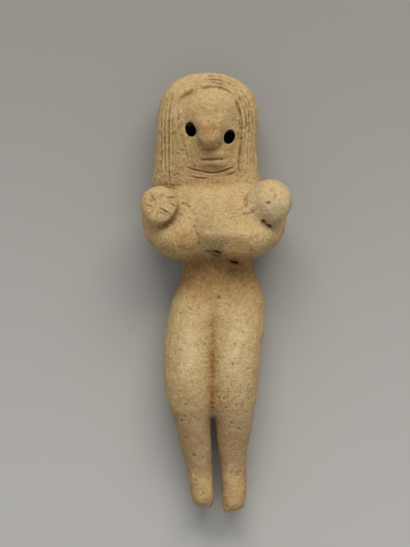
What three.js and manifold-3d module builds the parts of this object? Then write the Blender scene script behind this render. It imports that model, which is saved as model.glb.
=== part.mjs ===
// A hand-modelled figurine of fired clay: a standing woman with long combed hair, pierced eyes,
// a pinched nose, applied breasts and arms folded under them, lying on her back.
// Millimetres. +Y runs up the figure to its crown, +Z from its back to its face, and +X to the
// right of someone who looks down at the face. The origin is under the middle of the figure.

import * as THREE from "three";
import { mergeVertices } from "three/addons/utils/BufferGeometryUtils.js";
import Module from "manifold-3d";

const wasm = await Module();
wasm.setup();

// Driving dimensions

const LENGTH = 110;
const CROWN = LENGTH / 2;
const TOES = -LENGTH / 2;

// Levels up the figure
const HAIRLINE = 46;
const TEMPLES = 43;
const EYES = 39.6;
const NOSE_FOOT = 35.4;
const MOUTH = 33;
const JAW = 30.2;
const NECK = 28.6;
const HAIR_ENDS = 24;
const BREASTS = 21.6;
const UPPER_ARMS = 18.4;
const ELBOWS = 13.5;
const WAIST = 6.5;
const SEAT = -7;
const FORK = -29.5;
const ANKLES = -47.5;

// Places and half widths across the figure
const HEAD_MIDDLE = -2.1;
const FACE_MIDDLE = -1.7;
const HEAD_HALF_WIDTH = 12.7;
const FACE_HALF_WIDTH = 7.6;
const BROW_ARCH = 5.3;

// Depths up from what the figurine lies on
const FACE_RECESS = 14.8;
const CHEST_FRONT = 22;

// Carving
const EYE = { halfWidth: 1.3, halfHeight: 1.85, depth: 6 };
const HAIR_SCORE = { width: 0.6, depth: 0.36, steps: 24 };
const HAIR_STRANDS = 3;
const STRAND_SPACING = 0.95;
const PETALS = 8;

const FRONT = new THREE.Vector3(0, 0, 1);

// Helpers

function reshape(geometry, move) {
  const places = geometry.getAttribute("position");
  const point = new THREE.Vector3();
  for (let i = 0; i < places.count; i++) {
    point.fromBufferAttribute(places, i);
    move(point);
    places.setXYZ(i, point.x, point.y, point.z);
  }
  return geometry;
}

// A geometry as a solid that can be joined and cut. Triangles that closed up at a pole are dropped.
function solid(geometry) {
  geometry.deleteAttribute("normal");
  geometry.deleteAttribute("uv");
  const merged = mergeVertices(geometry);
  const corners = merged.index.array;
  const triangles = [];
  for (let i = 0; i < corners.length; i += 3) {
    const [a, b, c] = corners.slice(i, i + 3);
    if (a !== b && b !== c && c !== a) triangles.push(a, b, c);
  }
  return new wasm.Manifold(
    new wasm.Mesh({
      numProp: 3,
      vertProperties: merged.attributes.position.array,
      triVerts: new Uint32Array(triangles),
    }),
  );
}

function geometryOf(body) {
  const { vertProperties, triVerts } = body.getMesh();
  return new THREE.BufferGeometry()
    .setAttribute("position", new THREE.BufferAttribute(new Float32Array(vertProperties), 3))
    .setIndex(new THREE.BufferAttribute(new Uint32Array(triVerts), 1));
}

const joined = (...bodies) => bodies.reduce((whole, next) => whole.add(next));

// A closed body through stations of [level, middle, half width, back, front]. It is a capsule whose
// rings are led to each level's width and depth. Square over 2 boxes its section, under 2 peaks it,
// and focus crowds its columns towards the front.
function lofted(stations, { caps, rings, around, capRings = 4, square = 2, focus = 0 }) {
  const levels = stations.map(([level]) => level);
  const section = new THREE.CubicInterpolant(levels, stations.flatMap((s) => s.slice(1)), 4);
  const low = levels[0] + caps[0];
  const high = levels.at(-1) - caps[1];
  const capsule = new THREE.CapsuleGeometry(1, 1, capRings, around, rings);
  return solid(
    reshape(capsule, (p) => {
      const past = Math.max(0, Math.abs(p.y) - 0.5);
      const share = THREE.MathUtils.clamp(p.y + 0.5, 0, 1);
      const level = THREE.MathUtils.lerp(low, high, share) + (p.y > 0 ? caps[1] : -caps[0]) * past;
      const [middle, half, back, front] = section.evaluate(level);
      const radius = Math.hypot(p.x, p.z);
      const column = Math.atan2(p.z, p.x);
      const angle = column + focus * Math.cos(column);
      const across = Math.cos(angle);
      const deep = Math.sin(angle);
      const reach = radius / (Math.abs(across) ** square + Math.abs(deep) ** square) ** (1 / square);
      const x = middle + half * reach * across;
      p.set(x, level, (back + front) / 2 + ((front - back) / 2) * reach * deep);
    }),
  );
}

// A rounded lump of clay: a ball pressed to three half sizes, then turned in the plane of the face,
// tipped about the figure's width and swung about its length. Plan over 2 boxes its outline, and
// flat over 2 flattens its front.
function lump(place, halfSizes, { turn = 0, tip = 0, swing = 0, across = 14, down = 10, plan = 2, flat = 2 } = {}) {
  const ball = reshape(new THREE.SphereGeometry(1, across, down).rotateX(Math.PI / 2), (p) => {
    const outward = (Math.abs(p.x) ** plan + Math.abs(p.y) ** plan) ** (1 / plan);
    p.multiplyScalar((outward ** flat + Math.abs(p.z) ** flat) ** (-1 / flat));
  });
  ball.scale(...halfSizes).rotateZ(turn).rotateX(tip).rotateY(swing).translate(...place);
  return solid(ball);
}

// Smooths a body's joins as a wet thumb does: every point moves part of the way to the mean of its
// neighbours.
function thumbed(body, passes, share = 0.5) {
  const { vertProperties, triVerts } = body.getMesh();
  const count = vertProperties.length / 3;
  const neighbours = Array.from({ length: count }, () => new Set());
  for (let i = 0; i < triVerts.length; i += 3)
    for (const [a, b] of [[0, 1], [1, 2], [2, 0]]) {
      neighbours[triVerts[i + a]].add(triVerts[i + b]);
      neighbours[triVerts[i + b]].add(triVerts[i + a]);
    }
  let points = Array.from({ length: count }, (_, i) => new THREE.Vector3().fromArray(vertProperties, 3 * i));
  for (let pass = 0; pass < passes; pass++)
    points = points.map((point, i) => {
      const mean = new THREE.Vector3();
      for (const n of neighbours[i]) mean.addScaledVector(points[n], 1 / neighbours[i].size);
      return point.clone().lerp(mean, share);
    });
  return new wasm.Manifold(
    new wasm.Mesh({
      numProp: 3,
      vertProperties: new Float32Array(points.flatMap((p) => p.toArray())),
      triVerts,
    }),
  );
}

// Finds where a body's front, or its back, lies over a place, and which way it faces there
function surfaceOf(body, side = 1) {
  const away = 100;
  const target = new THREE.Mesh(geometryOf(body), new THREE.MeshBasicMaterial());
  const look = FRONT.clone().multiplyScalar(-side);
  return ({ x, y }) => {
    const sight = new THREE.Raycaster(new THREE.Vector3(x, y, side * away), look);
    const [{ point, face }] = sight.intersectObject(target);
    return { point, normal: face.normal };
  };
}

// One stroke of a pointed tool: a three-sided wedge along a route of [x, y] places over a surface,
// which fades out at both ends.
function stroke(surface, route, { width, depth, steps }) {
  const lift = 0.3;
  const brim = width * (1 + lift / depth);
  const curve = new THREE.SplineCurve(route.map(([x, y]) => new THREE.Vector2(x, y)));
  const spots = curve.getSpacedPoints(steps).map(surface);
  return solid(
    reshape(new THREE.BoxGeometry(1, 1, 1, steps, 1, 1), (p) => {
      const step = Math.round((p.x + 0.5) * steps);
      const { point, normal } = spots[step];
      const before = spots[Math.max(step - 1, 0)].point;
      const along = spots[Math.min(step + 1, steps)].point.clone().sub(before).normalize();
      const across = new THREE.Vector3().crossVectors(along, normal).normalize();
      const out = new THREE.Vector3().crossVectors(across, along);
      const fade = THREE.MathUtils.clamp((4 * Math.min(step, steps - step)) / steps, 0.25, 1);
      const aside = p.y > 0 ? p.z * brim * fade : 0;
      const height = p.y > 0 ? lift : -depth * fade;
      p.copy(point).addScaledVector(across, aside).addScaledVector(out, height);
    }),
  );
}

const incised = (body, strokes) => body.subtract(joined(...strokes));

// Head and hair

function hair() {
  return lofted(
    [
      [HAIR_ENDS, -2.3, 13.4, 2.4, 13],
      [27, -2.3, 13.7, 1.2, 14.6],
      [JAW, -2.4, 13.2, 0.3, 15.8],
      [34, -2.5, 12.7, -0.2, 16.6],
      [38, -2.4, 12.6, -0.4, 17.2],
      [TEMPLES, -2.1, 12.6, -0.4, 17.7],
      [48, -1.9, 13, -0.2, 17.8],
      [52, -2, 14, 0.5, 17.5],
      [CROWN, -2, 14.3, 1, 17],
    ],
    { caps: [2.8, 12], rings: 7, around: 34, capRings: 6, square: 2.5, focus: 0.3 },
  );
}

// The arched opening in the hair that the face looks out of
function faceOpening() {
  const right = FACE_MIDDLE + FACE_HALF_WIDTH;
  const left = FACE_MIDDLE - FACE_HALF_WIDTH;
  const outline = new THREE.Shape()
    .moveTo(right, HAIR_ENDS - 2)
    .lineTo(right, HAIRLINE)
    .absellipse(FACE_MIDDLE, HAIRLINE, FACE_HALF_WIDTH, BROW_ARCH, 0, Math.PI)
    .lineTo(left + 0.5, EYES)
    .lineTo(left + 1.9, JAW + 1)
    .lineTo(left + 0.5, HAIR_ENDS - 2);
  const depth = 10;
  const cutter = new THREE.ExtrudeGeometry(outline, { depth, bevelEnabled: false, curveSegments: 14 });
  return solid(cutter.translate(0, 0, FACE_RECESS));
}

function face() {
  return lofted(
    [
      [HAIR_ENDS, -1.5, 7.8, 5, 14.4],
      [28, -1.5, 7.8, 5, 14.9],
      [JAW, -1.5, 7.8, 5, 15.9],
      [MOUTH, -1.6, 7.8, 5, 17],
      [37, -1.8, 8, 5, 17.7],
      [41, -1.9, 8.1, 5, 18.4],
      [HAIRLINE, -1.9, 8.1, 5, 19],
      [49, -1.8, 7.9, 5, 18.7],
      [HAIRLINE + BROW_ARCH, -1.7, 7.7, 5, 17.8],
    ],
    { caps: [1, 5], rings: 9, around: 28, capRings: 3, square: 2.3, focus: 0.4 },
  );
}

// The nose is pinched out of the face, so that its bridge spreads into the brow.
function nose() {
  return lofted(
    [
      [NOSE_FOOT, -1.6, 2.4, 13, 20.8],
      [37, -1.6, 3, 13, 21.9],
      [EYES, -1.6, 3.4, 13, 21.2],
      [43, -1.6, 3.4, 13, 20.1],
      [49, -1.7, 2.8, 13, 18.6],
    ],
    { caps: [0.9, 3], rings: 7, around: 18, capRings: 2, square: 1.7, focus: 0.3 },
  );
}

const lowerLip = () => lump([-0.6, MOUTH - 1.2, 15.8], [3, 1.3, 1.1], { across: 12, down: 8, flat: 2.6 });

// Eyes pierced with a stick, leaning apart at the top
function eyes() {
  const pierced = (x, y, lean) => {
    const hole = new THREE.CylinderGeometry(1, 0.75, 2 * EYE.depth, 16);
    hole.rotateX(Math.PI / 2).scale(EYE.halfWidth, EYE.halfHeight, 1).rotateZ(lean);
    return solid(hole.translate(x, y, 18));
  };
  return joined(pierced(-6.2, EYES + 0.9, 0.2), pierced(3.4, EYES - 0.9, -0.25));
}

// A strand line runs inside the hair's outline, from one hem over the crown to the other
function strand(inset, shortening) {
  const half = HEAD_HALF_WIDTH - inset;
  const rise = CROWN - TEMPLES - 0.8 * inset;
  const turns = 8;
  const route = [[HEAD_MIDDLE - half - 0.5, HAIR_ENDS + 3.5 + shortening], [HEAD_MIDDLE - half - 0.3, 34]];
  for (let i = 0; i <= turns; i++) {
    const turn = Math.PI * (1 - i / turns);
    route.push([HEAD_MIDDLE + half * Math.cos(turn), TEMPLES + rise * Math.sin(turn)]);
  }
  route.push([HEAD_MIDDLE + half - 0.2, 34], [HEAD_MIDDLE + half + 0.2, HAIR_ENDS + 5 + shortening]);
  return route;
}

function hairScores(whole) {
  const front = surfaceOf(whole);
  const back = surfaceOf(whole, -1);
  const left = HEAD_MIDDLE - HEAD_HALF_WIDTH;
  const innermost = [[left + 4.1, HAIR_ENDS + 4], [left + 4.3, 34], [left + 4.3, TEMPLES], [left + 5.2, 48]];
  const scores = [stroke(front, innermost, { ...HAIR_SCORE, steps: 9 })];
  for (let i = 0; i < HAIR_STRANDS; i++) {
    const inset = 1.4 + STRAND_SPACING * i;
    scores.push(stroke(front, strand(inset, 1.5 * (i % 2)), HAIR_SCORE));
  }
  // The middle of the back is plain, where the hair was pressed flat.
  for (const offset of [-9.6, -7.4, 7.4, 9.6]) {
    const x = HEAD_MIDDLE + offset;
    scores.push(stroke(back, [[x, HAIR_ENDS + 4], [x, JAW + 4], [x - 0.1 * offset, 47]], { ...HAIR_SCORE, steps: 6 }));
  }
  return scores;
}

function faceScores(whole) {
  const front = surfaceOf(whole);
  return [
    stroke(front, [[-4, MOUTH], [-0.8, MOUTH], [2.3, MOUTH]], { width: 0.7, depth: 0.5, steps: 6 }),
    stroke(front, [[-7.4, JAW + 0.9], [-1.8, JAW - 0.5], [0.2, JAW - 0.4], [4.1, JAW + 0.8]], {
      width: 0.7,
      depth: 0.6,
      steps: 10,
    }),
    stroke(front, [[-7, NECK + 0.2], [-2.6, NECK - 0.4], [2, NECK + 0.2], [4.6, NECK + 1]], {
      width: 0.6,
      depth: 0.45,
      steps: 10,
    }),
  ];
}

const faceAndNose = thumbed(joined(face(), nose()), 2, 0.4);
const head = joined(hair().subtract(faceOpening()), faceAndNose, lowerLip());

// Body

function trunk() {
  return lofted(
    [
      [-18, 0, 9, 2, 11.6],
      [-14, 0, 10, 1, 12.6],
      [-9, 0.1, 11.3, -0.4, 13.5],
      [-4, 0.5, 12.3, 0.6, 14.3],
      [0, 1, 11.4, 2, 14],
      [4, 1.2, 9.4, 3.6, 13],
      [WAIST, 0.5, 8.2, 4.2, 12.6],
      [12, 0, 9.6, 3.4, 15],
      [20, -0.5, 12, 2.2, 17],
      [28, -2, 10, 2.2, 14],
    ],
    { caps: [7, 3], rings: 12, around: 22, capRings: 4, square: 2.2 },
  );
}

function legLeft() {
  return lofted(
    [
      [TOES + 0.8, -3.2, 2.8, 1.4, 11.4],
      [-52.5, -3.3, 3, 1.2, 11.2],
      [-50, -3.4, 3.2, 1.3, 10.4],
      [ANKLES, -3.5, 3.2, 2, 9.4],
      [-45, -3.9, 3.5, 2.2, 9.7],
      [-40, -4.6, 4.3, 2, 11.2],
      [-35, -5.45, 4.65, 1.8, 13],
      [FORK - 1.5, -6.1, 5.2, 1.6, 14.2],
      [FORK + 1.5, -6, 6.5, 1.4, 15.1],
      [-25, -6.4, 7, 1.1, 15.8],
      [-20, -6.6, 7.3, 0.2, 16.4],
      [-14, -6.4, 7.4, -0.9, 16.2],
      [SEAT, -6, 6.8, -1.4, 15],
      [0, -5, 6, 1.4, 12.7],
      [7, -3.6, 4.6, 4, 11],
    ],
    { caps: [2, 9], rings: 21, around: 16, capRings: 4, square: 2.3 },
  );
}

function legRight() {
  return lofted(
    [
      [TOES - 0.4, 4.4, 3, 1.4, 11.6],
      [-52.5, 4.5, 3.5, 1.2, 11.4],
      [-50, 4.7, 3.3, 1.4, 10.4],
      [ANKLES, 4.7, 3.1, 2.2, 9.4],
      [-45, 4.5, 3.4, 2.2, 9.7],
      [-40, 4.2, 4.2, 2, 11.2],
      [-35, 4.3, 4.75, 1.8, 13],
      [FORK - 1.5, 4.7, 5.1, 1.6, 14.2],
      [FORK + 1.5, 4.1, 6.2, 1.4, 15.1],
      [-25, 4.3, 6.7, 1.1, 15.8],
      [-20, 4.5, 7, 0.2, 16.4],
      [-14, 4.8, 7.3, -0.9, 16.2],
      [SEAT, 5.8, 7.4, -1.4, 15],
      [0, 4.8, 7.1, 1.4, 12.7],
      [7, 3.4, 4.4, 4, 11],
    ],
    { caps: [2.4, 9], rings: 21, around: 16, capRings: 4, square: 2.3 },
  );
}

const chest = () =>
  lump([-0.3, 18.4, CHEST_FRONT - 8.6], [12.6, 8.9, 8.2], { across: 20, down: 11, plan: 3, flat: 2.6, turn: 0.1, tip: -0.24 });

const upperArms = () =>
  joined(
    lump([-12.9, UPPER_ARMS, 10], [7, 8.6, 6.3]),
    lump([12.1, UPPER_ARMS + 0.2, 10], [7, 8.6, 6.3]),
  );

// The forearms lie from the elbows to the middle, under the breasts, and leave a notch between them.
const forearms = () =>
  joined(
    lump([-10.8, ELBOWS + 0.5, 13.6], [7.4, 5.6, 7], { turn: -0.2 }),
    lump([-8.8, ELBOWS - 0.8, 16.6], [6.3, 5.8, 5.6], { turn: -0.1 }),
    lump([8.6, ELBOWS, 13.6], [7.8, 5.5, 7], { turn: 0.25 }),
    lump([5.8, ELBOWS - 0.9, 16.8], [7.4, 5.9, 5.6], { turn: 0.1 }),
  );

const BREAST_LEFT = new THREE.Vector3(-13.5, BREASTS - 0.4, 17.4);
const BREAST_RIGHT = new THREE.Vector3(13.3, BREASTS + 0.9, 17);

const breasts = () =>
  joined(
    lump(BREAST_LEFT.toArray(), [4.9, 5, 4.6], { across: 18, down: 12, flat: 5, tip: -0.1, swing: -0.25 }),
    lump(BREAST_RIGHT.toArray(), [5.6, 5.6, 5.6], { across: 18, down: 12 }),
  );

// Petals scored round the left nipple and a nick for the right one
function bodyScores(whole) {
  const front = surfaceOf(whole);
  const scores = [];
  for (let i = 0; i < PETALS; i++) {
    const turn = (2 * Math.PI * (i + 0.3)) / PETALS;
    const [x, y] = [BREAST_LEFT.x - 0.8, BREAST_LEFT.y + 0.2];
    const along = (reach) => [x + reach * Math.cos(turn), y + reach * Math.sin(turn)];
    scores.push(stroke(front, [along(0.8), along(3.1)], { width: 0.55, depth: 0.4, steps: 3 }));
  }
  const nick = [[BREAST_RIGHT.x - 1, BREAST_RIGHT.y], [BREAST_RIGHT.x + 0.6, BREAST_RIGHT.y + 0.3]];
  scores.push(stroke(front, nick, { width: 0.6, depth: 0.5, steps: 4 }));
  return scores;
}

const body = thumbed(joined(trunk(), legLeft(), legRight(), chest(), upperArms(), forearms()), 4);

const blank = joined(body, head, breasts());

// The flat spots that the figurine lies on
function ground() {
  const depth = 10;
  return solid(new THREE.BoxGeometry(100, 200, depth).translate(0, 0, -depth / 2));
}

const scored = incised(blank, [...hairScores(blank), ...faceScores(blank), ...bodyScores(blank)]);

const clay = new THREE.MeshStandardMaterial({ color: 0xc2a97f, roughness: 0.85, metalness: 0 });

const figurine = new THREE.Mesh(geometryOf(scored.subtract(eyes()).subtract(ground())), clay);
figurine.name = "figurine";

const group = new THREE.Group();
group.add(figurine);

export default group;
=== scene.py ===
import itertools
import math

import bpy
import numpy as np
from mathutils import Matrix, Vector, kdtree


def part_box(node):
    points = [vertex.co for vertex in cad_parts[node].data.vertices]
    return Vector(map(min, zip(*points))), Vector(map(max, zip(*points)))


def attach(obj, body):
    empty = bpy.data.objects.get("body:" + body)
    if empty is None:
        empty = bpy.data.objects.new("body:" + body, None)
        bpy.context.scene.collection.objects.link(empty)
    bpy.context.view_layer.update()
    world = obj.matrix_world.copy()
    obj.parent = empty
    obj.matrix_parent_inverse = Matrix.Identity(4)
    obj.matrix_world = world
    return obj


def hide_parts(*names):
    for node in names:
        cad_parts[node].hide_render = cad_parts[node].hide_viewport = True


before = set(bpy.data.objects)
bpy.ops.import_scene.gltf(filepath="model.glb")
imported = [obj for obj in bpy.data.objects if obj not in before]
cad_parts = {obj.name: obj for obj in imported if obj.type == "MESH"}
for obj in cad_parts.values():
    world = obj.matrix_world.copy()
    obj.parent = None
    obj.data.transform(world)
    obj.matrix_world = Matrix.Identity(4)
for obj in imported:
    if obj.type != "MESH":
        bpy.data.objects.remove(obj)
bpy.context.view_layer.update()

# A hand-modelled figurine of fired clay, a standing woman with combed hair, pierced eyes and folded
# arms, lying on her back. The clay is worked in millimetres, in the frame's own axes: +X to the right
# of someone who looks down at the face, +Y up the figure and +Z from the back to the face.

MM = 0.001

# Levels up the figure
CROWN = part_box("figurine")[1].y / MM
EYES = CROWN - 15.4
MOUTH = CROWN - 22
NECK = CROWN - 26.6
HAIR_ENDS = CROWN - 27.8
TEMPLES = CROWN - 12
CHEEKS = 34
BREASTS = CROWN - 33.4
FORK = CROWN - 84.5

# Where the head's middle and the groove between the thighs lie across the figure, the head's half
# width, and how high its middle lies above the floor
HEAD_MIDDLE = -2.1
HEAD_HALF_WIDTH = 12.7
HEAD_HEIGHT = 7.5
GROOVE = -0.85

# The eyes, pierced with a stick: where they are, and how far their rims and their holes reach
EYE_LEFT = (-6.2, EYES + 0.9)
EYE_RIGHT = (3.4, EYES - 0.9)
EYE_RIM = 2.6
EYE_HOLE = 1.2

# The left breast is a pellet pressed flat, and the right one a ball.
DISC = (-13.5, BREASTS - 0.2)
DISC_REACH = (4.5, 4.2)
BALL = (13.2, BREASTS + 0.8)

# How finely the skin is worked, how often the thumb goes over all of it and over how many points it
# gives back the fullness that it took, and the most faces that the skin keeps
SKIN_STEP = 0.2
THUMB_PASSES = 110
REGAIN_PASSES = 60
MOST_TRIANGLES = 197000

# How many half widths a stroke's raised rim lies from its middle, and how long the nicks are that make
# it ragged
RIM_AT = 2
NICK_SIZE = 0.9

# What discolours the clay, from dirt and painted shade in its pits to the painted shade inside the pierced
# eyes, and the painted light on it
STAINS = ("dirt_and_shade", "soil_and_shade", "rust", "blush", "ash", "painted_light", "hole_shade")


# Helpers

def fade_in(values, start, end):
    """Runs smoothly from 0 at start to 1 at end."""
    share = np.clip((values - start) / (end - start), 0, 1)
    return share * share * (3 - 2 * share)


def applied(piece, kind, **settings):
    """Puts one modifier on a piece and keeps the mesh that it gives."""
    modifier = piece.modifiers.new(kind, kind)
    for name, value in settings.items():
        setattr(modifier, name, value)
    bpy.context.view_layer.update()
    worked = piece.evaluated_get(bpy.context.evaluated_depsgraph_get())
    mesh = bpy.data.meshes.new_from_object(worked)
    piece.modifiers.clear()
    piece.data = mesh


def read(items, what, width, kind=np.float32):
    """What each of a mesh's items holds, as rows of that width."""
    values = np.empty(len(items) * width, kind)
    items.foreach_get(what, values)
    return values.reshape(-1, width)


def line_through(places, steps=8):
    """The points of a smooth line through a few places."""
    spots = np.array(places, float)
    spots = np.vstack([2 * spots[0] - spots[1], spots, 2 * spots[-1] - spots[-2]])
    t = (np.arange(steps) / steps)[:, None]
    line = []
    for a, b, c, d in zip(spots, spots[1:], spots[2:], spots[3:]):
        bend = (2 * a - 5 * b + 4 * c - d) * t + (3 * b - a - 3 * c + d) * t * t
        line.extend(b + 0.5 * t * (c - a + bend))
    return np.array([*line, spots[-2]])


def nearest(spots, line):
    """How far each spot is from a line, and how far along the line, from 0 to 1, it is nearest."""
    runs = np.diff(line, axis=0)
    lengths = np.hypot(*runs.T)
    offsets = spots[:, None] - line[:-1]
    shares = np.clip((offsets * runs).sum(2) / lengths**2, 0, 1)
    gaps = np.hypot(*np.moveaxis(offsets - shares[..., None] * runs, 2, 0))
    best = gaps.argmin(1)
    rows = np.arange(len(spots))
    along = (np.cumsum(lengths) - lengths)[best] + shares[rows, best] * lengths[best]
    return gaps[rows, best], along / lengths.sum()


CHANCE = np.random.default_rng(11).uniform(-1, 1, (48, 48, 48))


def swells(points, size, turn):
    """Soft random hills and hollows about size across, between -1 and 1."""
    turned = np.array(Matrix.Rotation(turn, 3, "X") @ Matrix.Rotation(1.7 * turn, 3, "Z"))
    spots = points @ turned.T / size + 10 * turn
    corner = np.floor(spots).astype(int)
    share = spots - corner
    share = share * share * (3 - 2 * share)
    total = np.zeros(len(points))
    for step in itertools.product((0, 1), repeat=3):
        weight = np.where(step, share, 1 - share).prod(1)
        i, j, k = ((corner + step) % len(CHANCE)).T
        total += weight * CHANCE[i, j, k]
    return total


# The clay

class Clay:
    """The figurine's skin while it is worked, in millimetres."""

    def __init__(self, node):
        mesh = node.data.copy()
        mesh.materials.clear()
        mesh.transform(Matrix.Scale(1 / MM, 4))
        self.piece = bpy.data.objects.new("figurine_clay", mesh)
        bpy.context.collection.objects.link(self.piece)
        applied(self.piece, "REMESH", mode="VOXEL", voxel_size=SKIN_STEP)
        self.points = read(self.piece.data.vertices, "co", 3).astype(float)
        ends = read(self.piece.data.edges, "vertices", 2, np.int32)
        self.near = np.concatenate([ends[:, 0], ends[:, 1]])
        self.far = np.concatenate([ends[:, 1], ends[:, 0]])
        self.count = np.bincount(self.near, minlength=len(self.points))
        self.paint = {stain: np.zeros(len(self.points)) for stain in STAINS}
        self.face_up()

    def face_up(self):
        """Works out again which way each point of the skin faces."""
        mesh = self.piece.data
        mesh.vertices.foreach_set("co", self.points.astype(np.float32).ravel())
        mesh.update()
        self.normals = read(mesh.vertex_normals, "vector", 3).astype(float)
        # 1 where the skin faces up, falling to 0 where it faces sideways or down
        self.front = fade_in(self.normals[:, 2], 0, 0.35)

    def spread(self, values, passes=1):
        """Each point's mean over the points next to it."""
        for _ in range(passes):
            columns = np.reshape(values, (len(self.points), -1)).T
            sums = [np.bincount(self.near, column[self.far], len(self.points)) for column in columns]
            values = (np.array(sums) / self.count).T.reshape(values.shape)
        return values

    def hollows(self, passes):
        """How deep each point lies under the mean of the skin round it, more skin with more passes."""
        return ((self.spread(self.points, passes) - self.points) * self.normals).sum(1)

    def thumb(self, hold):
        """Smooths the skin as a wet thumb does, less where it is held, and keeps its fullness."""
        before = self.points.copy()
        ease = 0.5 * (1 - hold)[:, None]
        for _ in range(THUMB_PASSES):
            self.points += ease * (self.spread(self.points) - self.points)
        loss = ((before - self.points) * self.normals).sum(1)
        self.points += self.spread(loss, REGAIN_PASSES)[:, None] * self.normals
        self.face_up()

    def push(self, heights):
        """Moves each point out of the skin by its own height."""
        self.points += heights[:, None] * self.normals

    def patch(self, place, reach, turn=0.0):
        """1 at a place on the front, falling softly to 0 over that reach across and up."""
        x, y = (self.points[:, :2] - place).T
        c, s = math.cos(turn), math.sin(turn)
        return np.exp(-(((c * x + s * y) / reach[0]) ** 2) - ((c * y - s * x) / reach[1]) ** 2) * self.front

    def press(self, place, reach, height, turn=0.0):
        """Raises a soft swelling, or presses a hollow where the height is below 0."""
        self.push(height * self.patch(place, reach, turn))

    def rub(self, place, reach, passes, turn=0.0):
        """Smooths one place on the front, where the thumb joins two forms."""
        ease = self.patch(place, reach, turn)
        here = np.flatnonzero(ease > 0.01)
        number = np.full(len(self.points), -1)
        number[here] = np.arange(len(here))
        touching = number[self.near] >= 0
        near = number[self.near[touching]]
        far = self.far[touching]
        for _ in range(passes):
            sums = [np.bincount(near, self.points[far, axis], len(here)) for axis in range(3)]
            means = (np.array(sums) / self.count[here]).T
            self.points[here] += ease[here, None] * (means - self.points[here])
        self.face_up()

    def daub(self, name, amount):
        """Lays a stain, painted shade or painted light where none as strong lies yet."""
        self.paint[name] = np.maximum(self.paint[name], amount)

    def score(self, places, width, depth, ends=0.15, burr=0.0, dirt_and_shade=0.8, ragged=0.0):
        """Draws a stroke of that half width and depth over the front.

        It fades over the share of its length called ends, has a raised rim as high as the burr, and
        holds that much dirt and painted shade.
        """
        line = line_through(places)
        margin = 4 * width
        inside = (self.points[:, :2] > line.min(0) - margin) & (self.points[:, :2] < line.max(0) + margin)
        here = np.flatnonzero(inside.all(1) & (self.front > 0))
        gap, along = nearest(self.points[here, :2], line)
        fade = fade_in(along, 0, ends) * fade_in(1 - along, 0, ends) * self.front[here]
        if ragged:
            nicks = swells(self.points[here], NICK_SIZE, depth + width)
            fade *= np.clip(1 + ragged * 1.6 * nicks, 0, 1.6)
        heights = np.zeros(len(self.points))
        groove = np.exp(-((gap / width) ** 2)) * fade
        rim = burr * np.exp(-((gap / width - RIM_AT) ** 2)) * fade
        heights[here] = rim - depth * groove
        self.push(heights)
        # Dirt and painted shade in the stroke's groove
        dirt_and_shade_laid = np.zeros(len(self.points))
        dirt_and_shade_laid[here] = np.clip(dirt_and_shade * groove, 0, 1)
        self.daub("dirt_and_shade", dirt_and_shade_laid)

    def prick(self, spots, reach, depth, dirt_and_shade):
        """Sinks small round pits at places in the skin, with dirt and painted shade in them."""
        tree = kdtree.KDTree(len(self.points))
        for i, point in enumerate(self.points):
            tree.insert(point, i)
        tree.balance()
        heights = np.zeros(len(self.points))
        dirt_and_shade_laid = np.zeros(len(self.points))
        for spot, r, d in zip(spots, reach, depth):
            edge = 2.2 * r
            for _, i, gap in tree.find_range(Vector(spot), edge):
                share = math.exp(-((gap / r) ** 2))
                heights[i] = min(heights[i], -d * share)
                dirt_and_shade_laid[i] = max(dirt_and_shade_laid[i], dirt_and_shade * share)
        self.push(heights)
        self.daub("dirt_and_shade", dirt_and_shade_laid)


# The head

def held_eyes(clay):
    """Nearly 1 round the eyes' rims, which the thumb hardly touches, and 0 elsewhere."""
    held = np.zeros(len(clay.points))
    for eye in (EYE_LEFT, EYE_RIGHT):
        gap = np.hypot(*(clay.points[:, :2] - eye).T)
        held = np.maximum(held, fade_in(gap, EYE_RIM, EYE_RIM - 0.8) * fade_in(clay.points[:, 2], 8, 11))
    return 0.93 * held


def open_eyes(clay):
    """Widens the pierced eyes, which the thumb has narrowed, and paints shade into their depths."""
    # They open round points a little lower than they were pierced at, and further up than across.
    drop = [0, -0.4]
    taller = [0.8, 1]
    for eye in (EYE_LEFT, EYE_RIGHT):
        away = clay.points[:, :2] - eye - drop
        gap = np.hypot(*away.T)
        face = fade_in(clay.points[:, 2], 7, 9)
        push = 0.36 * np.exp(-(((gap - EYE_HOLE) / 0.9) ** 2)) * face
        clay.points[:, :2] += (push / np.maximum(gap, 0.3))[:, None] * away * taller
        # Painted shade on the eyes' inner walls and deep in their holes
        clay.daub("hole_shade", fade_in(gap, 1.7, 1.25) * fade_in(clay.normals[:, 2], 0.75, 0.45) * face)
        clay.daub("hole_shade", fade_in(gap, 1.5, 1.2) * fade_in(clay.points[:, 2], 16, 14) * face)
    clay.face_up()


def form_face(clay):
    """Raises and presses the soft forms of the face."""
    # The hair's inner edge is rubbed down into the face at the left, and at the top right.
    clay.press((-8.7, 40), (1.3, 8), 0.6)
    clay.rub((-9, 37), (2.1, 10), 250)
    clay.press((5.4, 47.2), (0.7, 1.8), 0.3)
    clay.rub((5.4, 47.2), (1.1, 2.4), 150)
    clay.press((HEAD_MIDDLE + 1.3, TEMPLES + 4), (4.4, 2.4), 0.35)
    # The brow runs down both sides of the nose.
    clay.press((-4, 42.4), (1.5, 2.4), 0.8)
    clay.press((1.4, 42), (1.6, 2.4), 0.75)
    clay.press((-3.9, 38.6), (0.9, 1.2), 0.15)
    clay.press((0.9, 38.2), (0.9, 1.2), 0.1)
    # The nose ends in a blunt tip, with scooped hollows round and under it.
    clay.press((-1.1, 38), (0.9, 1), 0.5)
    clay.press((-2.6, 40.2), (0.5, 1.4), 0.15, 0.3)
    clay.press((-3.9, 36.4), (1.4, 0.8), -0.65, -0.6)
    clay.press((1.3, 36.5), (1.2, 0.8), -0.6, 0.6)
    clay.press((-1.2, 35.2), (2, 0.6), -0.45)
    # The lips
    clay.press((0.7, MOUTH + 1.3), (1.8, 0.7), 0.3)
    clay.press((-0.9, MOUTH - 1), (3.3, 0.75), 0.45)
    clay.face_up()


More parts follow.
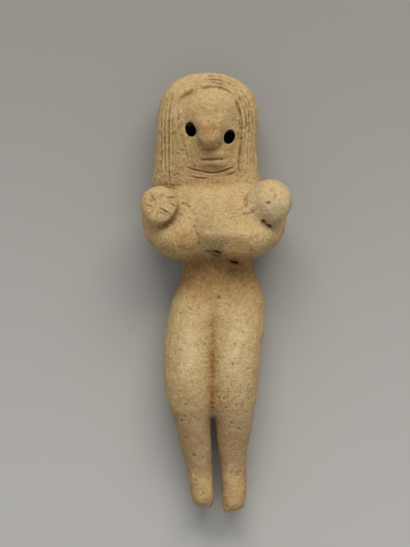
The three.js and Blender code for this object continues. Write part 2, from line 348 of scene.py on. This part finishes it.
def mark_face(clay):
    """Draws the strokes and cracks of the face and the neck."""
    # The mouth, and the edge of the lip under it
    clay.score([(-4.2, 32.8), (-0.8, 32.9), (2.3, 33)], 0.3, 0.38, burr=0.1, dirt_and_shade=0.42, ragged=0.3)
    clay.score([(-3.4, 31.3), (-0.6, 31.1), (1.4, 31.2)], 0.35, 0.2, ends=0.4, dirt_and_shade=0.35)
    # The wings and underside of the nose
    clay.score([(-4.5, 38.3), (-3.8, 37.2), (-2.6, 36.2)], 0.28, 0.25, ends=0.3, dirt_and_shade=0.35, ragged=0.4)
    clay.score([(-0.8, 35.4), (0.7, 35.9), (1.8, 37)], 0.26, 0.2, ends=0.3, dirt_and_shade=0.3, ragged=0.4)
    # Lines round the neck
    neck = [(-7.8, 31.2), (-5.7, 30.5), (-3.2, 30), (-1.6, 29.6), (0.4, 29.7), (1.9, 30.1), (4.9, 31.2)]
    clay.score(neck, 0.22, 0.42, ends=0.12, burr=0.14, dirt_and_shade=0.5, ragged=0.35)
    lower_left = [(-7.2, 28.9), (-5.7, 28.6), (-3.4, 28.3), (-1.6, 28.2)]
    clay.score(lower_left, 0.2, 0.34, ends=0.3, burr=0.12, dirt_and_shade=0.5, ragged=0.3)
    lower_right = [(1.2, 28.6), (3.3, 29.2), (5.6, 30.1)]
    clay.score(lower_right, 0.2, 0.26, ends=0.4, burr=0.12, dirt_and_shade=0.4, ragged=0.3)
    # Where the face meets the hair: an arch over the brow, widest at the left, and a crack each side
    clay.score([(-9.5, 46.7), (-8.6, 48), (-7, 49.3), (-4.6, 50.3)], 0.5, 0.45, ends=0.35, dirt_and_shade=0.45)
    arch = [(-6, 49.8), (-3, 50.8), (-0.6, 51.1), (1.9, 50.6), (3.8, 49.4), (5, 48.2)]
    clay.score(arch, 0.26, 0.3, ends=0.3, dirt_and_shade=0.3)
    right = [(4.4, 48.8), (5.5, 46), (6.2, 42.8), (6.3, 39), (6, 35.5), (5.7, 32), (5.9, 29)]
    clay.score(right, 0.24, 0.32, ends=0.12, dirt_and_shade=0.45, ragged=0.45)
    left = [(-9.4, 46.6), (-9.3, 42.5), (-8.8, 39), (-7.8, 35.8), (-7, 32.8), (-7.2, 30.4)]
    clay.score(left, 0.26, 0.16, dirt_and_shade=0.3, ragged=0.6)
    clay.face_up()


def strand(inset, foot):
    """A line of the comb from the left hem over the crown to the right hem, inside the outline."""
    half = HEAD_HALF_WIDTH - inset
    rise = CROWN - TEMPLES - 0.8 * inset
    left, right = HEAD_MIDDLE - half - 0.2, HEAD_MIDDLE + half - 0.2
    route = [(left - 0.2, HAIR_ENDS + foot), (left, CHEEKS)]
    for turn in np.linspace(math.pi, 0, 9):
        route.append((HEAD_MIDDLE + half * math.cos(turn), TEMPLES + rise * math.sin(turn)))
    return route + [(right, CHEEKS), (right + 0.4, HAIR_ENDS + 4 + foot)]


def comb_hair(clay):
    """Draws the comb lines that show from the front."""
    # Worn lines over the crown from hem to hem
    for inset, foot, depth in [(1.3, 3, 0.12), (2.3, 2, 0.14), (3.2, 4, 0.1)]:
        clay.score(strand(inset, foot), 0.2, depth, ends=0.12, burr=0.06, dirt_and_shade=0.4 * depth, ragged=0.5)
    # The deepest line, beside the face at the left, and the ones next to it
    deepest = [(-10.2, 49.6), (-11.2, 47), (-11.7, 43), (-11.75, 37), (-11.7, 31), (-11.5, 27)]
    clay.score(deepest, 0.22, 0.32, ends=0.08, burr=0.16, dirt_and_shade=0.28, ragged=0.35)
    second = [(-12.8, 44.6), (-12.75, 38), (-12.6, 32), (-12.2, 29), (-11.6, 27.2)]
    clay.score(second, 0.2, 0.22, burr=0.1, dirt_and_shade=0.22, ragged=0.4)
    clay.score([(-13.6, 45.5), (-13.7, 40), (-13.7, 34), (-13.8, 30)], 0.2, 0.2, dirt_and_shade=0.3, ragged=0.7)
    clay.score([(-10.9, 46), (-10.9, 40), (-10.8, 33)], 0.18, 0.14, dirt_and_shade=0.15, ragged=0.6)
    # Short comb lines down the right, four above and two below: how far across, from where, to where
    above = [(7.6, 46.5, 39), (8.4, 46.8, 37.5), (9.2, 46, 38.5), (10, 45, 38)]
    below = [(8, 36, 31.5), (9.6, 35, 30.5)]
    for x, top, foot in above + below:
        line = [(x - 0.2, top), (x, 0.5 * (top + foot)), (x + 0.15, foot)]
        clay.score(line, 0.2, 0.2, ends=0.35, burr=0.12, dirt_and_shade=0.08, ragged=0.4)
    # Fine arcs at the right of the crown
    for rise, dirt_and_shade in [(0.9, 0.3), (1.9, 0.12)]:
        top = CROWN - rise
        arc = [(-3, top - 0.3), (0.5, top - 0.1), (4, top - 1.3), (6.8, top - 3.4)]
        clay.score(arc, 0.2, 0.22, ends=0.3, burr=0.14, dirt_and_shade=dirt_and_shade, ragged=0.3)
    clay.face_up()


# The comb's lines round the sides and back of the head: how many, their half width and their depth
COMB_LINES = 38
COMB_HALF_WIDTH = 0.26
COMB_DEPTH = 0.24


def comb_back(clay):
    """Lines that the comb left from the crown down the sides and the back of the hair."""
    chance = np.random.default_rng(8)
    here = np.flatnonzero(clay.points[:, 1] > HAIR_ENDS)
    spots = clay.points[here]
    across, rise = spots[:, 0] - HEAD_MIDDLE, spots[:, 2] - HEAD_HEIGHT
    reach = np.hypot(across, rise)
    turn = np.arctan2(rise, across) + 0.06 * swells(spots, 7, 5.3)
    hair = fade_in(spots[:, 1], HAIR_ENDS + 0.6, HAIR_ENDS + 3) * fade_in(reach, 2, 5)
    hair *= fade_in(clay.normals[here, 2], 0.3, 0) * (reach < HEAD_HALF_WIDTH + 1.5)
    groove = np.zeros(len(here))
    for line in np.linspace(0, 2 * math.pi, COMB_LINES, endpoint=False):
        gap = (turn - line - chance.normal(0, 0.03) + math.pi) % (2 * math.pi) - math.pi
        line_groove = np.exp(-((gap * reach / COMB_HALF_WIDTH) ** 2))
        groove = np.maximum(groove, chance.uniform(0.5, 1) * line_groove)
    groove *= hair * np.clip(0.8 + 0.7 * swells(spots, 4, 6.1), 0, 1)
    heights = np.zeros(len(clay.points))
    heights[here] = -COMB_DEPTH * groove
    clay.push(heights)
    # Dirt and painted shade in the comb lines
    dirt_and_shade_laid = np.zeros(len(clay.points))
    dirt_and_shade_laid[here] = 0.3 * groove
    clay.daub("dirt_and_shade", dirt_and_shade_laid)
    clay.face_up()


# The body

# Each foot: its middle, its half width, and how far its left corner, right corner and tip are drawn
# out
FEET = [(-3.35, 2.6, 0.4, 1.1, 0), (5.1, 2.9, 1, 1.2, 0.1)]


def square_feet(clay):
    """Draws the corners of the feet out to blunt ends, the left one slanting."""
    x, y, _ = clay.points.T
    for middle, half, left, right, toe in FEET:
        across = np.clip((x - middle) / half, -1, 1)
        corner = np.where(across < 0, left, right) * fade_in(np.abs(across), 0.35, 0.95)
        corner += toe * fade_in(np.abs(across + 0.1), 0.5, 0)
        y -= corner * fade_in(y, -50, -52.6) * (np.abs(x - middle) < half + 0.6)
    clay.face_up()
    clay.rub((-3.3, -51.5), (4, 2), 6)
    clay.rub((5.1, -52), (4, 2), 6)


def form_body(clay):
    """Joins and presses the soft forms of the body."""
    # The neck runs smoothly into the chest, and the right breast into both.
    clay.press((-1, NECK - 2), (8, 1.7), 0.7)
    clay.press((-1, NECK - 3.4), (9, 1.2), -0.35)
    clay.rub((-1, NECK - 2.4), (8, 1.6), 120)
    clay.rub((9.2, 22.5), (2.8, 5), 420)
    clay.press((8.2, 22.6), (1.6, 4), 0.4)
    clay.press((BALL[0] + 0.4, BREASTS - 4.4), (3, 1.2), 0.4)
    # A hollow parts the forearms, and the right one is flattened under a long edge.
    clay.press((-4.9, 14.6), (1.3, 4.2), -0.6, 0.3)
    clay.press((-7.6, 13), (2.6, 2.6), 0.35)
    clay.press((4, 14.2), (7.5, 1.1), 0.35)
    clay.press((4.2, 10.9), (6.8, 1.9), -0.6, -0.05)
    clay.rub((4, 13), (8, 1.8), 16)
    # Dark gaps under the forearms
    clay.press((0.7, 9.3), (1.5, 0.55), -1.2, -0.3)
    clay.press((4.8, 7.8), (1.4, 0.5), -1.0, -0.25)
    clay.rub((2.6, 8.7), (5, 1.3), 12, -0.3)
    square_feet(clay)
    # The groove down between the thighs
    clay.press((GROOVE, -20), (1.5, 10), -0.4)
    clay.press((GROOVE, -6), (1.4, 5), -0.2)
    clay.rub((GROOVE, -15), (1.6, 12), 80)
    clay.face_up()


def shape_disc(clay):
    """Presses the left breast's front flat with a rim round it."""
    x, y = (clay.points[:, :2] - DISC).T
    reach = np.hypot(x / DISC_REACH[0], y / DISC_REACH[1])
    rim = 0.14 * np.exp(-(((reach - 0.88) / 0.14) ** 2))
    dish = 0.25 * fade_in(reach, 0.75, 0.4)
    clay.push((rim - dish) * clay.front * fade_in(clay.points[:, 2], 16, 18))
    clay.face_up()


def mark_body(clay):
    """Draws the strokes and cracks of the body."""
    # Petals scored round the left nipple: where each starts and ends, how deep it is, and how much dirt and
    # painted shade it holds
    petals = [
        ((-12.4, 23.2), (-10, 23.4), 0.35, 0.28), ((-11.2, 22), (-10.2, 21), 0.3, 0.3),
        ((-14, 20.8), (-11.8, 19.6), 0.4, 0.5), ((-14.4, 20), (-14.7, 18.2), 0.26, 0.2),
        ((-15.4, 20.2), (-16.6, 19), 0.24, 0.25), ((-15.8, 21.2), (-17.3, 21.4), 0.22, 0.2),
        ((-15, 22.4), (-16, 23.9), 0.22, 0.2), ((-13.6, 22.9), (-13.4, 24.4), 0.2, 0.15),
    ]
    for start, end, depth, dirt_and_shade in petals:
        clay.score([start, end], 0.21, depth, burr=0.4 * depth, dirt_and_shade=dirt_and_shade, ragged=0.2)
    # The right nipple is a nick.
    nick = [(BALL[0] - 1, BALL[1] - 0.4), (BALL[0] - 0.3, BALL[1] - 0.45), (BALL[0] + 0.3, BALL[1])]
    clay.score(nick, 0.24, 0.4, ends=0.2, dirt_and_shade=1.0)
    # Cracks beside the breasts
    clay.score([(-9.2, 22.3), (-8.3, 21.8), (-7.4, 22.1)], 0.24, 0.25, ends=0.3, dirt_and_shade=0.5, ragged=0.8)
    clay.score([(-7.9, 21.5), (-7, 21.4), (-6.4, 20.8)], 0.2, 0.2, ends=0.3, dirt_and_shade=0.4, ragged=0.8)
    clay.score([(6.3, 19.9), (7.3, 19.3), (8.4, 19.5), (9.6, 20.2)], 0.26, 0.14, dirt_and_shade=0.14, ragged=1.0)
    clay.score([(7.4, 24.6), (7.2, 22.4), (7.6, 20)], 0.4, 0.2, ends=0.35, dirt_and_shade=0.3, ragged=0.6)
    # The gaps under the breasts, with painted shade in them
    under_disc = [(-9, 22.6), (-9.4, 20), (-10.9, 17.8), (-13.4, 16.2), (-15.6, 16.4)]
    clay.score(under_disc, 0.45, 0.4, ends=0.3, dirt_and_shade=0.5)
    under_ball = [(11, 17.9), (12, 17.2), (13, 16.5), (14.6, 16.3)]
    clay.score(under_ball, 0.32, 0.6, ends=0.25, dirt_and_shade=0.8, ragged=0.4)
    # The crack under the forearms, widest at two places, and the crease between the forearms, with painted
    # shade in them
    crack = [(-3.4, 10.5), (-1.6, 9.9), (0, 9.7), (1.4, 9.1), (2.8, 8.4), (4.3, 7.9), (6.4, 7.5)]
    clay.score(crack, 0.3, 0.4, dirt_and_shade=0.6, ragged=0.9)
    clay.score([(-1.8, 9.9), (0.3, 9.6), (1.5, 9)], 0.55, 0.6, ends=0.3, dirt_and_shade=1.3, ragged=0.4)
    clay.score([(3.6, 8.3), (4.7, 7.8), (6, 7.5)], 0.5, 0.6, ends=0.3, dirt_and_shade=1.3, ragged=0.4)
    crease = [(-5.4, 15.4), (-4, 13.4), (-4.1, 11.9), (-3.2, 10.6)]
    clay.score(crease, 0.3, 0.12, ends=0.3, dirt_and_shade=0.22, ragged=0.8)
    # The bottom of the groove between the thighs
    groove = [(GROOVE + 0.5, -3), (GROOVE, -9), (GROOVE, -17), (GROOVE, FORK)]
    clay.score(groove, 0.5, 0.12, ends=0.2, dirt_and_shade=0.12)
    clay.face_up()


# The soft swells that fingers leave: how high, how wide, and which way they are turned
HAND_SWELLS = [(0.2, 6.5, 0.3), (0.12, 2.6, 0.7), (0.08, 1.2, 1.1)]


def leave_hand_marks(clay):
    """The unevenness that fingers, the drying clay and the soil leave."""
    y = clay.points[:, 1]
    heights = np.zeros(len(y))
    for height, size, turn in HAND_SWELLS:
        heights += height * swells(clay.points, size, turn)
    # The grain is rougher in some places, and finer below the waist.
    rough = 0.5 + 0.9 * fade_in(swells(clay.points, 9, 2.3), -0.3, 0.6)
    rough *= 1 - 0.45 * fade_in(y, 6, 0)
    coarse = 0.07 * swells(clay.points, 0.7, 2.9)
    fine = 0.05 * swells(clay.points, 0.45, 1.9)
    heights += rough * (coarse + fine)
    # A wet finger was drawn down the thighs.
    thighs = fade_in(y, 2, -4) * fade_in(y, -34, -26)
    drawn = [1, 0.12, 1]
    heights += 0.05 * thighs * swells(clay.points * drawn, 0.8, 3.7)
    clay.push(heights * (1 - held_eyes(clay)))
    clay.face_up()


# Where the skin is pitted more than elsewhere: the place, how far it reaches and how much more often
PITTED = [
    ((-1, 27.3), (6, 1.2), 1.6), ((GROOVE, -20), (1.4, 10), 1.2), ((3.6, -24), (3.5, 5), 1),
    ((-8.8, 38), (1.5, 8), 0.8), ((-9, 12.5), (4, 3), 0.9), ((6.2, 38), (0.8, 8), 0.8),
    ((0.8, 42.4), (2.5, 2), 1.2), ((4, -38), (3, 8), 0.5), ((-4, 43.6), (4, 2), 0.8),
    ((-7.6, 36), (1.6, 4), 1.4), ((4.2, 36.5), (2, 4), 0.8), ((-9.4, 44), (1.6, 3), 1.2),
]

# The larger pits: across, up and half width
LARGE_PITS = [
    # The thighs and hips
    (1.9, -26.4, 0.34), (4.2, -17.9, 0.32), (4.7, -12.9, 0.26), (-2.4, -11.5, 0.22), (-8.8, -14.3, 0.26),
    (-9.2, -17.9, 0.22), (-8.8, -5.3, 0.3), (6.8, -19.7, 0.2), (2.9, -26.3, 0.24), (3.9, -23, 0.24),
    (6, -23.1, 0.2), (2.6, -28.8, 0.26), (6.6, -28.2, 0.24), (0.8, -1.3, 0.42),
    # The groove
    (-0.9, -15.6, 0.3), (-0.9, -18.9, 0.28), (-0.95, -21.2, 0.3), (-0.8, -27.8, 0.34), (-0.8, -28.8, 0.36),
    # The shins and feet
    (5.7, -34.1, 0.3), (3.9, -32.6, 0.3), (-8.6, -32, 0.36), (-6.8, -32.8, 0.24), (-5.5, -40.8, 0.4),
    (-7.3, -36.4, 0.28), (-4.9, -47.2, 0.26), (-3.1, -50.3, 0.28), (3.9, -45.2, 0.28), (6.2, -44.7, 0.28),
    (2.7, -53.5, 0.26),
    # Round the breasts
    (14.6, 23.9, 0.28), (6.8, 24.7, 0.24), (7.8, 24, 0.26), (7, 19.3, 0.3), (9, 20.3, 0.24),
    (-8.1, 22.1, 0.3), (-7.2, 22, 0.2), (-6.6, 21.2, 0.22),
    # Along the edge of the face
    (-9.3, 46.7, 0.2), (-9.3, 43, 0.26), (-9.3, 40.7, 0.2), (-8.1, 35.1, 0.22), (-7.5, 31.6, 0.2),
    (6.1, 40.7, 0.3), (6.3, 38.2, 0.26), (5.9, 34.4, 0.24), (1.3, 41.6, 0.2), (3.2, 43.9, 0.18),
    (-12.4, 31.1, 0.26),
]
SMALL_PITS = 1900
PITTED_ANYWHERE = 0.35


def pit_skin(clay):
    """Pits where grit fell out and straw burnt away."""
    chance = np.random.default_rng(5)
    often = PITTED_ANYWHERE + sum(more * clay.patch(place, reach) for place, reach, more in PITTED)
    often *= 1 - held_eyes(clay)
    picked = chance.choice(len(clay.points), SMALL_PITS, False, often / often.sum())
    reach = chance.uniform(0.1, 0.2, SMALL_PITS) + 0.16 * chance.random(SMALL_PITS) ** 6
    clay.prick(clay.points[picked], reach, 0.7 * reach, 0.45)
    front = clay.points[clay.front > 0.3]
    spots = [front[np.hypot(*(front[:, :2] - (x, y)).T).argmin()] for x, y, _ in LARGE_PITS]
    reach = np.array(LARGE_PITS)[:, 2]
    clay.prick(spots, reach, 0.8 * reach, 0.75)
    clay.face_up()


# Where the front is stained or given painted shade or painted light: the place, how far it reaches and how
# strong it is
STAINED = {
    "dirt_and_shade": [
        # Painted shade under the forearms, under the nose and between the forearms
        ((-4.8, 6.4), (2, 2.2), 0.3), ((4.6, 5.8), (2.6, 1.8), 0.34),
        ((0.9, 9.1), (2.2, 0.5), 0.5), ((1.6, 8), (4.5, 0.8), 0.42),
        ((-1.3, 35.4), (2.1, 0.6), 0.25), ((-4.2, 12.6), (1.2, 2.4), 0.14),
    ],
    "soil_and_shade": [
        # Soil on the neck and round the face, and painted shade on the chin and the cheeks under the nose
        ((-1.5, 27.3), (6.5, 1.1), 0.8), ((-1, 31.6), (6, 3.4), 0.42), ((-5.6, 35.4), (2.4, 2.6), 0.4),
        ((3.2, 35.2), (2.4, 2.6), 0.45), ((-9.2, 36), (1.8, 8), 0.5), ((5.9, 37), (1.2, 9), 0.45),
        # The forehead, the nose and the crown, and painted shade on the nose's underside
        ((-1, 44.6), (7, 4.5), 0.38), ((-1.4, 40), (2.8, 3), 0.8), ((-1.4, 35.6), (2.4, 0.9), 0.8),
        ((-0.5, 52.6), (9, 2), 0.3),
        # Soil and painted shade on the forearms, and painted shade on the waist close under them
        ((4, 10.5), (8, 2.4), 0.7), ((-8.5, 10.6), (7, 2.8), 0.7), ((-7.8, 13.4), (3, 2.2), 0.8),
        ((-4.8, 5.8), (1.8, 2.2), 1.1), ((4.6, 5.4), (2.4, 2), 1.1),
    ],
    # The belly and the top of the groove
    "rust": [((-0.4, 0.4), (9, 4.5), 0.35), ((-0.2, -4.5), (1.6, 5), 0.4)],
    # The left elbow, the lips, nose and left brow, the right leg and hip, the neck, the belly and the
    # right breast
    "blush": [
        ((-17, 14.6), (1.5, 2.4), 0.9), ((-1.5, 32), (3, 0.7), 0.8), ((-3.4, 40.2), (0.8, 1.8), 0.45),
        ((10.8, -22), (1.2, 9), 0.8), ((8.8, -33), (1.2, 5), 0.8), ((-1, 29), (5, 0.5), 0.7),
        ((-6.5, 42.6), (2, 1.2), 0.5), ((12.6, -8), (1, 7), 0.5), ((-5, 4), (3, 2), 0.5),
        ((13.6, 24), (2.2, 1.6), 0.4),
    ],
    # Painted light and highlights on the thighs, the right breast and beside it, the left foot's inner
    # edge, the forehead and the crown
    "painted_light": [
        ((-6.8, -15), (2.6, 7), 0.7), ((5.5, -15), (2.8, 8), 0.6), ((13.4, 24), (3.6, 3), 0.6),
        ((13.6, 20), (4, 2), 0.8), ((17.2, 22), (1.4, 4), 0.7), ((9.6, 22), (1.2, 3), 0.5),
        ((-1, -49.6), (0.7, 2), 0.8), ((-0.6, 48), (3, 1.6), 0.3),
        ((-0.5, 53.4), (8, 1.3), 0.55),
    ],
}


def stain_clay(clay):
    """Lays the stains of the soil and the fire, painted shade and painted light, and dirt and painted shade
    in every hollow.
    """
    x, y, _ = clay.points.T
    # Dirt and painted shade in small hollows, and soil and painted shade in broad ones
    clay.daub("dirt_and_shade", 0.6 * fade_in(clay.hollows(12), 0.03, 0.16))
    clay.daub("soil_and_shade", 0.36 * fade_in(clay.hollows(160), 0.05, 0.7))
    ragged = 0.5 * swells(clay.points, 2.2, 4.1) + 0.35 * swells(clay.points, 0.8, 4.7)
    for stain, patches in STAINED.items():
        for place, reach, strength in patches:
            clay.daub(stain, strength * (1 + 0.7 * ragged) * clay.patch(place, reach))
    # Rust down the groove, darkest at its foot
    groove = np.exp(-(((x - GROOVE) / (1.35 + 0.5 * ragged)) ** 2)) * (0.8 + 0.3 * ragged)
    groove *= fade_in(y, -1, -6) * fade_in(y, FORK - 1.5, FORK + 2.5)
    clay.daub("rust", groove * (0.65 + 0.5 * fade_in(y, -8, -18)) * clay.front)
    # Soil and painted shade all round the waist, soil on the feet, and ash from the fire round the shins
    waist = fade_in(y, -4, 4 + ragged) * fade_in(y, 11, 8)
    clay.daub("soil_and_shade", waist * (0.8 + 0.3 * ragged))
    clay.daub("soil_and_shade", 0.25 * (1 + ragged) * fade_in(y, -44, -49))
    shins = fade_in(y + 1.5 * ragged, -26, -32) * fade_in(y + ragged, -46.5, -44.5)
    clay.daub("ash", shins * (0.8 + 0.3 * ragged))


def finished(clay, name):
    """The worked skin as a piece in metres, with few enough faces."""
    # Nothing reaches below the floor.
    clay.points[:, 2] = np.maximum(clay.points[:, 2], 0)
    clay.face_up()
    mesh = clay.piece.data
    for stain, amount in clay.paint.items():
        layer = mesh.attributes.new(stain, "FLOAT", "POINT")
        layer.data.foreach_set("value", np.clip(amount, 0, 1).astype(np.float32))
    triangles = 2 * len(mesh.polygons)
    if triangles > MOST_TRIANGLES:
        applied(clay.piece, "DECIMATE", ratio=MOST_TRIANGLES / triangles)
    clay.piece.data.transform(Matrix.Scale(MM, 4))
    clay.piece.data.shade_smooth()
    clay.piece.name = name
    clay.piece.data.name = name
    return clay.piece


def model_figurine():
    """Works the solid into the figurine's skin, and gives it back as a piece."""
    clay = Clay(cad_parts["figurine"])
    clay.thumb(held_eyes(clay))
    open_eyes(clay)
    form_face(clay)
    form_body(clay)
    shape_disc(clay)
    mark_face(clay)
    comb_hair(clay)
    comb_back(clay)
    mark_body(clay)
    leave_hand_marks(clay)
    pit_skin(clay)
    stain_clay(clay)
    return finished(clay, "figurine_skin")


# Finishes

class Value:
    """A number or colour on its way through a finish's nodes."""

    def __init__(self, finish, socket):
        self.finish = finish
        self.socket = socket

    def math(self, operation, first, second):
        return self.finish.node("Math", {"operation": operation}, {0: first, 1: second})

    def __add__(self, other):
        return self.math("ADD", self, other)

    def __mul__(self, other):
        return self.math("MULTIPLY", self, other)

    __radd__ = __add__
    __rmul__ = __mul__


class Finish:
    """A material made node by node."""

    def __init__(self, name):
        self.material = bpy.data.materials.new(name)
        self.material.use_nodes = True
        self.tree = self.material.node_tree
        self.tree.nodes.clear()

    def node(self, kind, settings, sockets, out=0):
        """Adds a node, sets it up, then gives its sockets their values or links."""
        node = self.tree.nodes.new("ShaderNode" + kind)
        for name, value in settings.items():
            setattr(node, name, value)
        for name, value in sockets.items():
            if isinstance(value, Value):
                self.tree.links.new(value.socket, node.inputs[name])
            else:
                node.inputs[name].default_value = value
        return Value(self, node.outputs[out]) if node.outputs else None

    def place(self):
        """The place of each point on the piece, in metres."""
        return self.node("TexCoord", {}, {}, "Object")

    def noise(self, size, detail=2.0, roughness=0.5, seed=0.0):
        """Soft random light and dark about size millimetres across, from 0 to 1."""
        sockets = {"Vector": self.place(), "W": seed, "Scale": 1 / (size * MM)}
        sockets |= {"Detail": detail, "Roughness": roughness}
        return self.node("TexNoise", {"noise_dimensions": "4D"}, sockets)

    def between(self, value, start, end):
        """From 0 at start to 1 at end, smoothly."""
        sockets = {"Value": value, 1: start, 2: end, 3: 0.0, 4: 1.0}
        return self.node("MapRange", {"interpolation_type": "SMOOTHSTEP"}, sockets)

    def mixed(self, share, first, second):
        """The first colour, going over to the second as the share goes from 0 to 1."""
        return self.node("Mix", {"data_type": "RGBA"}, {0: share, 6: first, 7: second}, 2)

    def painted(self, name):
        """How strongly that stain, painted shade or painted light lies on the clay."""
        return self.node("Attribute", {"attribute_name": name}, {}, "Fac")

    def surface(self, **sockets):
        """Ends the finish as one shader, and gives back the material."""
        named = {name.replace("_", " "): value for name, value in sockets.items()}
        shader = self.node("BsdfPrincipled", {}, named)
        self.node("OutputMaterial", {}, {"Surface": shader})
        return self.material


def tone(red, green, blue):
    """A colour as seen, from 0 to 255, as the light that it gives back."""
    linear = [((c / 255 + 0.055) / 1.055) ** 2.4 for c in (red, green, blue)]
    return (*linear, 1.0)


# The clay, and the clouds and crumbs in it
BUFF = tone(181, 156, 108)
BROWN_BUFF = tone(172, 141, 92)
PINK_BUFF = tone(188, 152, 112)
YELLOW_BUFF = tone(184, 166, 108)
BROWN_CRUMB = tone(158, 127, 80)
PALE_CRUMB = tone(216, 198, 158)
DARK_SPECK = tone(118, 86, 48)
PALE_GRIT = tone(224, 207, 170)

# What stains it, and the painted shade and painted light on it
PAINTED_LIGHT = tone(205, 184, 141)
ASH = tone(150, 121, 86)
BLUSH = tone(190, 148, 112)
SOIL_AND_SHADE = tone(140, 97, 50)
RUST = tone(136, 89, 36)
DIRT_AND_SHADE = tone(84, 52, 24)
HOLE_SHADE = tone(14, 13, 14)

# The floor, with painted shade that darkens it up the picture between two places, in metres, and its clouds
NEAR_FLOOR = tone(176, 173, 167)
SHADED_FAR_FLOOR = tone(137, 134, 128)
CLOUDED_FLOOR = tone(150, 147, 142)
NEAR_AT = -0.08
FAR_AT = 0.09


def fired_clay():
    """Matte buff clay with crumbs in it, stained by fire and soil, with painted shade and painted light."""
    clay = Finish("fired_clay")
    # Clouds in the buff clay, and painted light where it is paler
    cloud = clay.between(clay.noise(4.5, detail=3.0), 0.36, 0.64)
    colour = clay.mixed(cloud, BUFF, BROWN_BUFF)
    pinker = clay.between(clay.noise(3.2, seed=21.0), 0.5, 0.68)
    colour = clay.mixed(pinker * 0.4, colour, PINK_BUFF)
    yellower = clay.between(clay.noise(2.6, seed=24.0), 0.52, 0.7)
    colour = clay.mixed(yellower * 0.45, colour, YELLOW_BUFF)
    colour = clay.mixed(clay.painted("painted_light"), colour, PAINTED_LIGHT)
    # Brown and pale crumbs
    brown = clay.between(clay.noise(1.1, seed=3.0), 0.4, 0.66)
    colour = clay.mixed(brown * 0.35, colour, BROWN_CRUMB)
    crumbs = clay.between(clay.noise(0.55, roughness=0.6, seed=12.0), 0.44, 0.66)
    colour = clay.mixed(crumbs * 0.3, colour, PALE_CRUMB)
    # The stains of the fire and the soil, and painted shade in the soil's brown
    smudge = clay.between(clay.noise(0.8, detail=3.0, roughness=0.6, seed=5.0), 0.36, 0.62)
    colour = clay.mixed(clay.painted("ash") * 0.8, colour, ASH)
    colour = clay.mixed(clay.painted("blush") * 0.6, colour, BLUSH)
    colour = clay.mixed(clay.painted("soil_and_shade") * (0.55 + 0.45 * smudge), colour, SOIL_AND_SHADE)
    colour = clay.mixed(clay.painted("rust") * (0.55 + 0.45 * smudge), colour, RUST)
    # Dark specks and pale grit
    specks = clay.between(clay.noise(0.34, seed=7.0), 0.57, 0.72)
    colour = clay.mixed(specks * 0.5, colour, DARK_SPECK)
    grit = clay.between(clay.noise(0.36, detail=1.0, seed=9.0), 0.62, 0.76)
    colour = clay.mixed(grit * 0.45, colour, PALE_GRIT)
    # Dirt and painted shade in the pits and lines, and painted shade inside the eyes
    colour = clay.mixed(clay.painted("dirt_and_shade") * 0.9, colour, DIRT_AND_SHADE)
    colour = clay.mixed(clay.painted("hole_shade"), colour, HOLE_SHADE)
    grain = clay.noise(0.55, detail=3.0, roughness=0.65, seed=2.0)
    bump = clay.node("Bump", {}, {"Strength": 0.85, "Distance": 0.32 * MM, "Height": grain}, "Normal")
    return clay.surface(Base_Color=colour, Roughness=0.9, Specular_IOR_Level=0.2, Normal=bump)


def studio_floor():
    """Plain grey board, with painted shade darkening it up the picture."""
    floor = Finish("studio_floor")
    up = floor.node("SeparateXYZ", {}, {0: floor.place()}, "Y")
    colour = floor.mixed(floor.between(up, NEAR_AT, FAR_AT), NEAR_FLOOR, SHADED_FAR_FLOOR)
    colour = floor.mixed(floor.noise(25) * 0.1, colour, CLOUDED_FLOOR)
    return floor.surface(Base_Color=colour, Roughness=0.85)


# The figurine

figurine = model_figurine()
figurine.data.materials.append(fired_clay())
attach(figurine, "root")
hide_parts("figurine")


# The floor, light and camera, in metres

FLOOR_REACH = 3
LIGHT_PLACE = Vector((0.1, 0.72, 0.66))
LIGHT_SIZE = (1.0, 0.45)
LIGHT_POWER = 9.5
LIGHT_COLOUR = (1, 0.98, 0.95)
AIR_COLOUR = (0.93, 0.96, 1.0, 1.0)
AIR_STRENGTH = 0.52


def lay_floor():
    """A wide square of board that the figurine lies on."""
    mesh = bpy.data.meshes.new("studio_floor")
    across = (-FLOOR_REACH, FLOOR_REACH)
    corners = [(x, y, 0) for y in across for x in across]
    mesh.from_pydata(corners, [], [(0, 1, 3, 2)])
    mesh.materials.append(studio_floor())
    floor = bpy.data.objects.new("studio_floor", mesh)
    bpy.context.collection.objects.link(floor)


def light_room():
    """Pale light from all round, and a wide soft light beyond the head that faces the figurine."""
    world = bpy.data.worlds.new("studio_air")
    world.use_nodes = True
    air = world.node_tree.nodes["Background"]
    air.inputs["Color"].default_value = AIR_COLOUR
    air.inputs["Strength"].default_value = AIR_STRENGTH
    bpy.context.scene.world = world
    light = bpy.data.lights.new("window", "AREA")
    light.shape = "RECTANGLE"
    light.size, light.size_y = LIGHT_SIZE
    light.energy = LIGHT_POWER
    light.color = LIGHT_COLOUR
    lamp = bpy.data.objects.new("window", light)
    lamp.location = LIGHT_PLACE
    lamp.rotation_euler = (-LIGHT_PLACE).to_track_quat("-Z", "Y").to_euler()
    bpy.context.collection.objects.link(lamp)


# The photograph's view, straight down and in millimetres: 547 pixels of a quarter of a millimetre up
# the picture, how far above the middle of the figurine's depth the camera hangs, what it looks at,
# that middle, and the width of its sensor
VIEW_HEIGHT = 136.75
VIEW_DISTANCE = 900
VIEW_CENTRE = (-2.69, 4.63)
MID_DEPTH = 10
SENSOR = 36


def set_camera():
    """Hangs the camera over the figurine, looking straight down."""
    camera = bpy.data.cameras.new("camera")
    camera.sensor_width = SENSOR
    camera.lens = SENSOR * VIEW_DISTANCE / VIEW_HEIGHT
    eye = bpy.data.objects.new("camera", camera)
    eye.location = Vector((*VIEW_CENTRE, MID_DEPTH + VIEW_DISTANCE)) * MM
    bpy.context.collection.objects.link(eye)
    bpy.context.scene.camera = eye


lay_floor()
light_room()
set_camera()
bpy.context.scene.view_settings.view_transform = "Standard"
